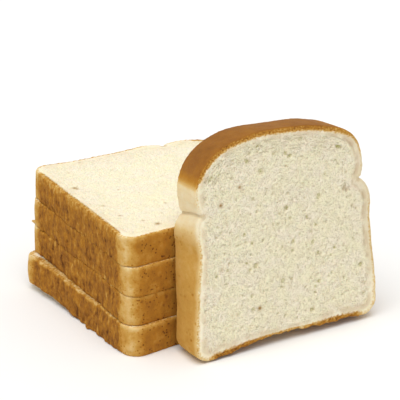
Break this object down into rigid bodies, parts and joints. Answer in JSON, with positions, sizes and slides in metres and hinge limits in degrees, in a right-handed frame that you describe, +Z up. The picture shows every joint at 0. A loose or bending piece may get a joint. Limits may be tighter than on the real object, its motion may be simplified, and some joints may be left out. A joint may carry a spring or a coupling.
{
  "type": "tin loaf",
  "caption": "Sliced tin loaf of white bread: slices stacked flat with another leaning against their side.",
  "frame": {"origin": "centre of the cut face that the stack rests on", "axes": "+X from the stacked slices' bottom crust to their crown, -Y towards the leaning slice, +Z up"},
  "size_m": [0.1519, 0.1482, 0.1243],
  "materials": {
    "bread": "matte"
  },
  "bodies": {
    "root": {"stack_slice_1": "bread", "stack_slice_2": "bread", "stack_slice_3": "bread", "stack_slice_4": "bread", "leaning_slice": "bread"}
  },
  "joints": []
}
